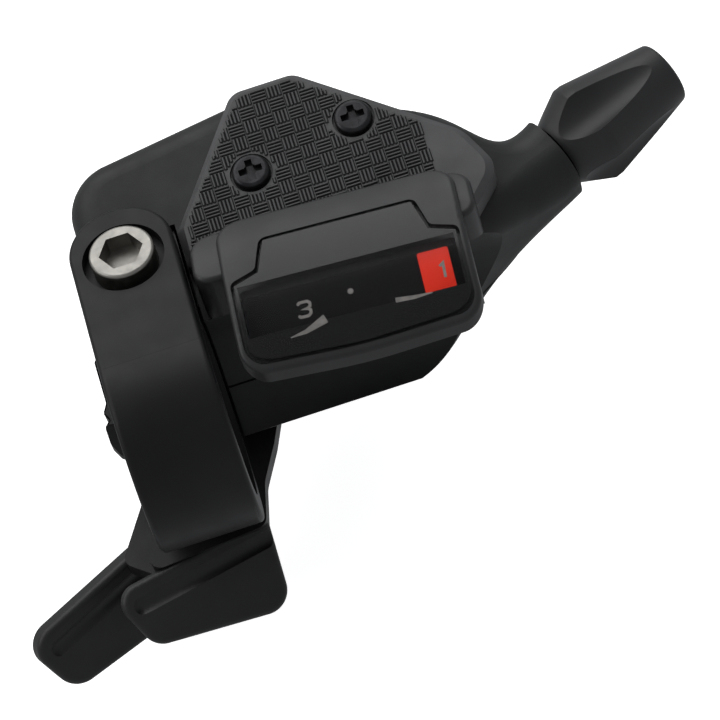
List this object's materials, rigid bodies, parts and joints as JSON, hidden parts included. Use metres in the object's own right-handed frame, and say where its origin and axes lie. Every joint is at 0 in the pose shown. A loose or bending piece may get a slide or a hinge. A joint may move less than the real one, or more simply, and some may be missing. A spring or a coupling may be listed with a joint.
{
  "type": "trigger shifter",
  "caption": "Thumb-operated bicycle trigger shifter with handlebar band clamp, gear display window, ratchet drum, push levers and a cable barrel adjuster.",
  "frame": {"origin": "centre of the handlebar clamp bore, half way along the band", "axes": "+X along the handlebar towards the cable adjuster, +Y forwards, +Z square to the top cover"},
  "size_m": [0.102, 0.0598, 0.0465],
  "materials": {
    "moulded_black": "fine spark texture, matt",
    "textured_cover": "moulded basket weave, matt",
    "bezel_black": "smooth satin",
    "smoked_lens": "polished smoked window",
    "dial_black": "printed plate",
    "pointer_red": "moulded through colour",
    "band_black": "satin black paint",
    "bolt_steel": "bright zinc plate",
    "black_screw": "black oxide",
    "zinc_plate": "zinc plated",
    "spring_wire": "drawn wire",
    "nylon_drum": "moulded nylon",
    "lever_black": "matt",
    "adjuster_black": "satin"
  },
  "bodies": {
    "body": {"upper_housing": "moulded_black", "lower_cover": "moulded_black", "top_cover": "textured_cover", "indicator_bezel": "bezel_black", "indicator_lens": "smoked_lens", "indicator_dial": "dial_black", "cover_screws": "black_screw", "lower_cover_screws": "black_screw", "clamp_band": "band_black", "clamp_bolt": "bolt_steel", "base_plate": "zinc_plate", "pivot_axle": "zinc_plate", "axle_washer": "zinc_plate", "axle_nut": "zinc_plate", "holding_pawl_pin": "zinc_plate", "drum_return_spring": "spring_wire", "lever_return_spring": "spring_wire", "release_lever_spring": "spring_wire"},
    "pointer": {"indicator_slider": "pointer_red"},
    "drum": {"winding_drum": "nylon_drum", "ratchet_wheel": "zinc_plate"},
    "pull_lever_unit": {"pull_lever": "lever_black", "pawl_carrier": "zinc_plate", "drive_pawl_pin": "zinc_plate"},
    "drive_pawl_unit": {"drive_pawl": "zinc_plate"},
    "holding_pawl_unit": {"holding_pawl": "zinc_plate"},
    "release_lever_unit": {"release_lever": "lever_black"},
    "adjuster": {"barrel_adjuster": "adjuster_black"}
  },
  "joints": [
    {"name": "pull_lever_pivot", "type": "hinge", "parent": "body", "child": "pull_lever_unit", "pos_m": [0.013, 0.024, -0.01], "axis": [0, 0, 1], "range_deg": [-35, 0], "stiffness_Nm_per_rad": 0.5, "springref_deg": 20.05},
    {"name": "release_lever_pivot", "type": "hinge", "parent": "body", "child": "release_lever_unit", "pos_m": [0.013, 0.024, -0.01], "axis": [0, 0, 1], "range_deg": [-10, 0], "stiffness_Nm_per_rad": 0.4, "springref_deg": 20.05},
    {"name": "drum_turn", "type": "hinge", "parent": "body", "child": "drum", "pos_m": [0.013, 0.024, -0.01], "axis": [0, 0, 1], "range_deg": [-60, 0]},
    {"name": "pointer_slide", "type": "slide", "parent": "body", "child": "pointer", "axis": [0.9969, -0.0767, 0.0163], "range_m": [-0.018, 0.0006]},
    {"name": "drive_pawl_pivot", "type": "hinge", "parent": "pull_lever_unit", "child": "drive_pawl_unit", "pos_m": [0.02498, 0.02721, -0.005], "axis": [0, 0, 1], "range_deg": [0, 8], "stiffness_Nm_per_rad": 0.01, "springref_deg": -17.19},
    {"name": "holding_pawl_pivot", "type": "hinge", "parent": "body", "child": "holding_pawl_unit", "pos_m": [0.0192, 0.03474, -0.005], "axis": [0, 0, 1], "range_deg": [0, 8], "stiffness_Nm_per_rad": 0.01, "springref_deg": -17.19},
    {"name": "adjuster_turn", "type": "hinge", "parent": "body", "child": "adjuster", "pos_m": [0.0559, 0.0216, -0.003], "axis": [0.9239, 0.3827, 0], "continuous": true}
  ],
  "couplings": [
    {"joint": "pointer_slide", "follows": "drum_turn", "m_per_rad": 0.016425}
  ]
}
